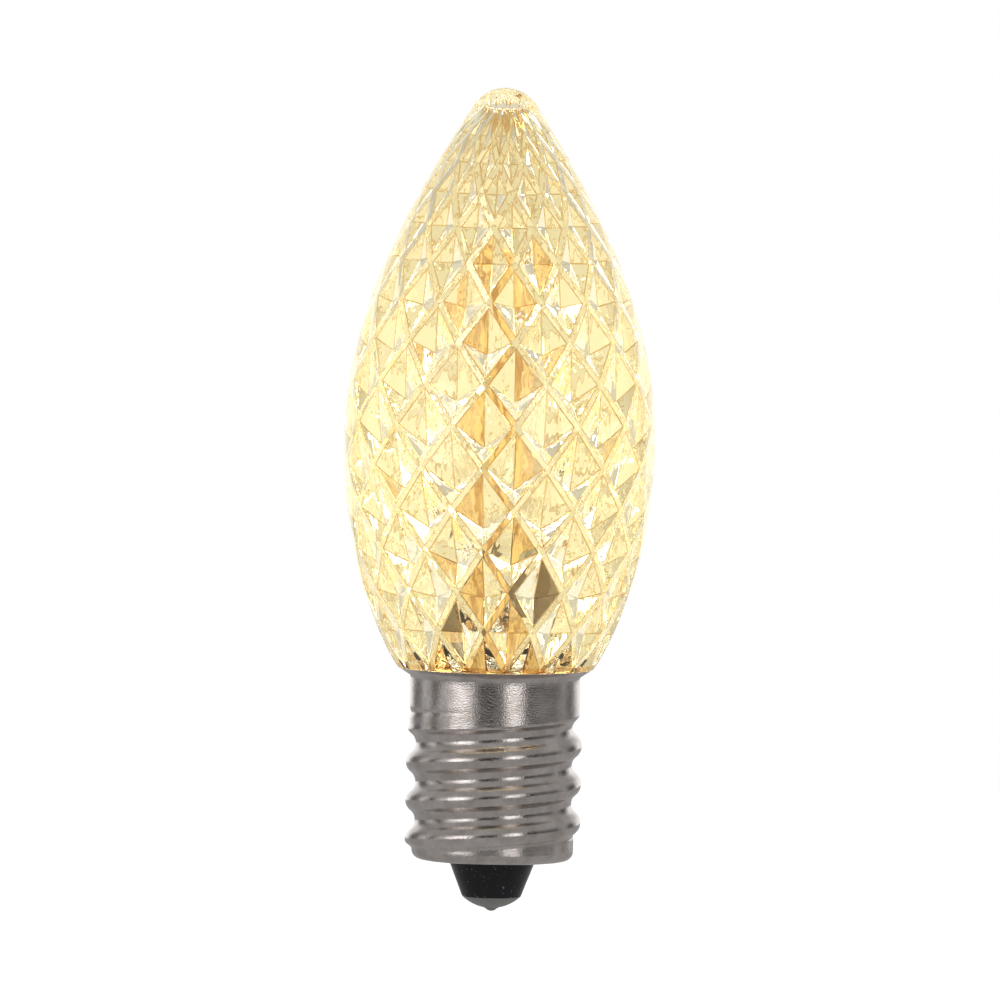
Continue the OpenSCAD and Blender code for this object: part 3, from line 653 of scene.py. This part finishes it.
def glossy_black(f):
    """Glossy black glass with fine light specks and faint waves in its gloss."""
    material, tree, shader = fresh_material("glossy_black")
    specks = object_noise(tree, 5000, 2, 0.7)
    waves = object_noise(tree, 900, 2, 0.5)
    tree.links.new(ramp(tree, specks, 0.66, 0.76, tuple(f.black), (0.2, 0.2, 0.21)), shader.inputs["Base Color"])
    tree.links.new(scaled(tree, waves, 0.04, 0.16), shader.inputs["Roughness"])
    shader.inputs["Specular IOR Level"].default_value = 0.3
    bumped(tree, shader, waves, 0.4, 0.05 * MM)
    return material


def board_laminate(f):
    """Glass-fibre laminate under its mask: upright fibre streaks, lighter tracks, and a painted glow: emission in the
    streaks that stands in for the light of the chips that leaks through it."""
    material, tree, shader = fresh_material("board_laminate")
    fibres = object_noise(tree, 3500, 3, 0.65, (1, 1, 0.08))
    tree.links.new(ramp(tree, fibres, 0.35, 0.65, tuple(f.mask), tuple(f.copper)), shader.inputs["Base Color"])
    # Painted glow in the fibre streaks, for the chips' light that leaks through the board
    painted_glow = ramp(tree, fibres, 0.38, 0.56, (0.3, 0.1, 0.015), (1.0, 0.78, 0.32))
    tree.links.new(painted_glow, shader.inputs["Emission Color"])
    shader.inputs["Emission Strength"].default_value = f.board_glow
    tree.links.new(scaled(tree, fibres, 0.3, 0.45), shader.inputs["Roughness"])
    bumped(tree, shader, fibres, 0.2, 0.02 * MM)
    return material


def lit_phosphor(f):
    """Silicone full of phosphor grains, lit from behind."""
    material, tree, shader = fresh_material("lit_phosphor")
    grains = object_noise(tree, 9000, 2, 0.6)
    deeper = tuple(np.array(f.glow) * (1, 0.92, 0.8))
    tree.links.new(ramp(tree, grains, 0.35, 0.65, (1.0, 0.62, 0.18), (1.0, 0.74, 0.3)), shader.inputs["Base Color"])
    tree.links.new(ramp(tree, grains, 0.35, 0.65, deeper, tuple(f.glow)), shader.inputs["Emission Color"])
    shader.inputs["Emission Strength"].default_value = f.glow_strength
    shader.inputs["Roughness"].default_value = 0.4
    return material


# Operators

class BULB_OT_lens(bpy.types.Operator):
    """Build the clear lens with facets on its inside"""

    bl_idname = "bulb.lens"
    bl_label = "Lens"

    def execute(self, context):
        settings = context.scene
        verts, faces, smooth = lens_mesh(settings.bulb_lens, settings.bulb_shell)
        corners = [verts[f[:, :3]] for f in faces]
        centres = np.concatenate([c.mean(1) for c in corners])
        normals = np.concatenate([np.cross(c[:, 1] - c[:, 0], c[:, 2] - c[:, 0]) for c in corners])
        normals /= np.linalg.norm(normals, axis=1, keepdims=True) + 1e-12
        inside = np.concatenate([np.full(len(f), float(i == FACETS)) for i, f in enumerate(faces)])
        # The chips' light on each facet becomes its painted glow
        piece = new_piece("lens_body", verts, faces, smooth, lit_plastic(settings.bulb_finishes), ["lens"],
                          {"lamp_light": lamp_light(centres, normals) * inside, "inside": inside})
        # Painted shade: the rounded edges and the neck get a darker brown tint than the facets, which stands in for the
        # dark that refraction shows there
        piece.data.materials.append(clear_plastic("painted_edge_shade", settings.bulb_finishes.edge)[0])
        floor_z = lens_heights(settings.bulb_lens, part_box("screw_shell")[1].z)[2]
        middles = np.empty(len(piece.data.polygons) * 3, np.float32)
        piece.data.polygons.foreach_get("center", middles)
        piece.data.polygons.foreach_set("material_index", (middles[2::3] < floor_z + 0.01 * MM).astype(np.int32))
        bevel = piece.modifiers.new("edge_round", "BEVEL")
        bevel.width = settings.bulb_lens.edge_round
        bevel.segments = 3
        bevel.limit_method = "ANGLE"
        bevel.angle_limit = math.radians(10)
        bevel.material = 1
        bevel.use_clamp_overlap = False
        return {"FINISHED"}


class BULB_OT_shell(bpy.types.Operator):
    """Build the rolled screw shell"""

    bl_idname = "bulb.shell"
    bl_label = "Screw shell"

    def execute(self, context):
        settings = context.scene
        verts, quads = shell_mesh(settings.bulb_shell)
        new_piece("screw_shell_sheet", verts, [quads], np.ones(len(quads)),
                  plated_steel(settings.bulb_finishes), ["screw_shell"])
        return {"FINISHED"}


class BULB_OT_finishes(bpy.types.Operator):
    """Give every solid that stays in view its finish"""

    bl_idname = "bulb.finishes"
    bl_label = "Finishes"

    def execute(self, context):
        f = context.scene.bulb_finishes
        solder = plain("solder", f.solder, 0.38, metallic=0.9)
        tinned = plain("tinned_wire", (0.62, 0.6, 0.56), 0.25, metallic=1.0)
        moulding = plain("dark_moulding", (0.25, 0.17, 0.09), 0.35)
        finishes = {
            "insulator": glossy_black(f),
            "centre_contact": solder, "contact_solder": solder, "shell_solder": solder, "board_solder": solder,
            "resin_plug": plain("resin", f.resin, 0.45),
            "circuit_board": board_laminate(f),
            "rectifier": moulding, "resistor": moulding,
            "rectifier_leads": tinned, "contact_lead": tinned, "shell_lead": tinned,
            "led": plain("white_frame", (0.85, 0.83, 0.78), 0.4), "phosphor": lit_phosphor(f),
        }
        for name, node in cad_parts.items():
            kind = name.rstrip("0123456789").rstrip("_")
            if kind in finishes:
                node.data.materials.clear()
                node.data.materials.append(finishes[kind])
        return {"FINISHED"}


def stage_material(name, colour, mirrored, through):
    """Stage finish: plain diffuse colour, which keeps the shadow, and even light at a level of its own for paths that
    are mirrored and for paths that run through clear plastic."""
    material = bpy.data.materials.new(name)
    material.use_nodes = True
    tree = material.node_tree
    tree.nodes.clear()
    out = tree.nodes.new("ShaderNodeOutputMaterial")
    diffuse = tree.nodes.new("ShaderNodeBsdfDiffuse")
    diffuse.inputs["Color"].default_value = (*colour, 1)
    path = tree.nodes.new("ShaderNodeLightPath")
    shader = diffuse.outputs[0]
    for kind, level in (("Is Glossy Ray", mirrored), ("Is Transmission Ray", through)):
        light = tree.nodes.new("ShaderNodeEmission")
        light.inputs["Strength"].default_value = level
        shader = mixed(tree, path.outputs[kind], shader, light.outputs[0])
    tree.links.new(shader, out.inputs["Surface"])
    return material


# Soft boxes and dark flags round the horizon, as (turn, brightness). Turn 0.5 is in front, and 0.75 is towards +X.
ROOM = ((0.0, 0.5), (0.08, 0.6), (0.115, 0.07), (0.17, 0.1), (0.185, 0.35), (0.225, 0.35), (0.245, 0.03), (0.262, 0.04),
        (0.275, 0.28), (0.325, 0.4), (0.34, 1.0), (0.395, 1.0), (0.43, 0.15), (0.45, 0.02), (0.50, 0.02),
        (0.515, 0.09), (0.54, 0.15), (0.555, 1.0), (0.59, 1.0), (0.62, 0.01), (0.65, 0.01), (0.67, 0.07),
        (0.76, 0.08), (0.80, 0.25), (0.83, 0.05), (0.87, 0.05), (0.90, 0.6), (1.0, 0.5))
BOX_STRENGTH = 2.0  # Light of a box of brightness 1
EVEN_LIGHT = 0.6  # Even light on rough surfaces
OVERHEAD_GREY = 0.2  # Brightness well above and below the boxes
LENS_PALENESS = 0.5  # Share by which the flags are paler for what is seen through the lens

# Lamps as (name, place, size in metres, power in watts)
LAMPS = (("key_lamp", (-0.35, -0.45, 0.4), 0.3, 3.0),
         ("fill_lamp", (0.45, -0.3, 0.2), 0.3, 1.5),
         ("back_lamp", (0.1, 0.5, 0.35), 0.4, 2.0))


def studio_world(scene):
    """White for the camera, even soft light for rough surfaces, and soft boxes with dark flags between them for what
    reflects or refracts: bands of brightness by direction round the horizon, with an even grey far above and below."""
    world = bpy.data.worlds.new("studio")
    scene.world = world
    world.use_nodes = True
    tree = world.node_tree
    tree.nodes.clear()
    out = tree.nodes.new("ShaderNodeOutputWorld")

    def background(strength, colour=None):
        """White background, or one whose colour comes from a socket."""
        node = tree.nodes.new("ShaderNodeBackground")
        node.inputs["Color"].default_value = (1, 1, 1, 1)
        node.inputs["Strength"].default_value = strength
        if colour:
            tree.links.new(colour, node.inputs["Color"])
        return node.outputs[0]

    def towards_grey(colour, share, grey):
        """Colour mixed with an even grey by a share, which is a number or a socket."""
        node = tree.nodes.new("ShaderNodeMix")
        node.data_type = "RGBA"
        if isinstance(share, float):
            node.inputs["Factor"].default_value = share
        else:
            tree.links.new(share, node.inputs["Factor"])
        tree.links.new(colour, node.inputs["A"])
        node.inputs["B"].default_value = (grey, grey, grey, 1)
        return node.outputs["Result"]

    where = tree.nodes.new("ShaderNodeTexCoord")
    parts = tree.nodes.new("ShaderNodeSeparateXYZ")
    tree.links.new(where.outputs["Generated"], parts.inputs[0])
    # Turn round the horizon: the angle from -Y towards +X as a share of a circle, plus a half
    ahead = maths(tree, "MULTIPLY", parts.outputs["Y"], -1.0)
    circle = maths(tree, "DIVIDE", maths(tree, "ARCTAN2", parts.outputs["X"], ahead), 2 * math.pi)
    bands = tree.nodes.new("ShaderNodeValToRGB")
    tree.links.new(maths(tree, "ADD", circle, 0.5), bands.inputs["Fac"])
    stops = bands.color_ramp.elements
    for stop, (turn, level) in zip(stops, (ROOM[0], ROOM[-1])):
        stop.position, stop.color = turn, (level, level, level, 1)
    for turn, level in ROOM[1:-1]:
        stops.new(turn).color = (level, level, level, 1)
    room = bands.outputs["Color"]
    # The boxes stand round the horizon and fade with the slant of the direction
    slant = tree.nodes.new("ShaderNodeMapRange")
    slant.interpolation_type = "SMOOTHSTEP"
    slant.inputs["From Min"].default_value = 0.12
    slant.inputs["From Max"].default_value = 0.5
    tree.links.new(maths(tree, "ABSOLUTE", parts.outputs["Z"]), slant.inputs["Value"])
    mirrored = background(BOX_STRENGTH, towards_grey(room, slant.outputs["Result"], OVERHEAD_GREY))
    through = background(1.0, towards_grey(room, LENS_PALENESS, 1.0))
    path = tree.nodes.new("ShaderNodeLightPath")
    shader = mixed(tree, path.outputs["Is Glossy Ray"], background(EVEN_LIGHT), mirrored)
    shader = mixed(tree, path.outputs["Is Transmission Ray"], shader, through)
    shader = mixed(tree, path.outputs["Is Camera Ray"], shader, background(1.0))
    tree.links.new(shader, out.inputs["Surface"])


class BULB_OT_stage(bpy.types.Operator):
    """Set up the camera, the world, the lamps and the floor"""

    bl_idname = "bulb.stage"
    bl_label = "Stage"

    def execute(self, context):
        s = context.scene.bulb_stage
        scene = context.scene
        scene.view_settings.view_transform = "Standard"
        # Light takes many turns inside the lens before it leaves
        scene.cycles.max_bounces = 24
        scene.cycles.glossy_bounces = 16
        scene.cycles.transmission_bounces = 24
        camera = bpy.data.objects.new("camera", bpy.data.cameras.new("camera"))
        scene.collection.objects.link(camera)
        scene.camera = camera
        aim = Vector((s.aim_side, 0, s.aim_height))
        back = Vector((0, -math.cos(s.elevation), math.sin(s.elevation)))
        up = Vector((0, math.sin(s.elevation), math.cos(s.elevation)))
        side = Vector((1, 0, 0))
        turned_up = up * math.cos(s.lean) - side * math.sin(s.lean)
        turned_side = side * math.cos(s.lean) + up * math.sin(s.lean)
        turn = Matrix((turned_side, turned_up, back)).transposed()
        camera.matrix_world = Matrix.Translation(aim + back * s.distance) @ turn.to_4x4()
        camera.data.sensor_width = 36
        camera.data.lens = 36 * s.distance / s.view_width
        camera.data.clip_start = 0.01
        camera.data.clip_end = 10

        studio_world(scene)

        floor_mesh = bpy.data.meshes.new("floor")
        reach, z = s.floor_reach, -s.floor_depth
        corners = [(-reach, -reach, z), (reach, -reach, z), (reach, reach, z), (-reach, reach, z)]
        floor_mesh.from_pydata(corners, [], [(0, 1, 2, 3)])
        floor = bpy.data.objects.new("floor", floor_mesh)
        scene.collection.objects.link(floor)
        floor_mesh.materials.append(stage_material("pale_floor", (0.8, 0.8, 0.8), 0.38, 0.95))

        middle = Vector((0, 0, 0.027))
        for name, place, size, power in LAMPS:
            lamp = bpy.data.lights.new(name, "AREA")
            lamp.size = size
            lamp.energy = power
            holder = bpy.data.objects.new(name, lamp)
            holder.location = place
            holder.visible_glossy = False
            holder.rotation_euler = (middle - Vector(place)).to_track_quat("-Z", "Y").to_euler()
            scene.collection.objects.link(holder)
        return {"FINISHED"}


class BULB_PT_panel(bpy.types.Panel):
    """Bulb tools in the sidebar"""

    bl_idname = "BULB_PT_panel"
    bl_label = "Festoon bulb"
    bl_space_type = "VIEW_3D"
    bl_region_type = "UI"
    bl_category = "Bulb"

    def draw(self, context):
        for operator in OPERATORS:
            self.layout.operator(operator.bl_idname)
        for group, _ in GROUPS:
            box = self.layout.box()
            for name in getattr(context.scene, group).__annotations__:
                box.prop(getattr(context.scene, group), name)


OPERATORS = (BULB_OT_stage, BULB_OT_lens, BULB_OT_shell, BULB_OT_finishes)
GROUPS = (("bulb_lens", LensSizes), ("bulb_shell", ShellSizes), ("bulb_finishes", Finishes), ("bulb_stage", StageSizes))


def register():
    for _, group in GROUPS:
        bpy.utils.register_class(group)
    for operator in OPERATORS:
        bpy.utils.register_class(operator)
    bpy.utils.register_class(BULB_PT_panel)
    for name, group in GROUPS:
        setattr(bpy.types.Scene, name, PointerProperty(type=group))


def unregister():
    for name, _ in GROUPS:
        delattr(bpy.types.Scene, name)
    bpy.utils.unregister_class(BULB_PT_panel)
    for operator in reversed(OPERATORS):
        bpy.utils.unregister_class(operator)
    for _, group in reversed(GROUPS):
        bpy.utils.unregister_class(group)


def main():
    register()
    bpy.ops.bulb.stage()
    bpy.ops.bulb.lens()
    bpy.ops.bulb.shell()
    bpy.ops.bulb.finishes()


if __name__ == "__main__":
    main()
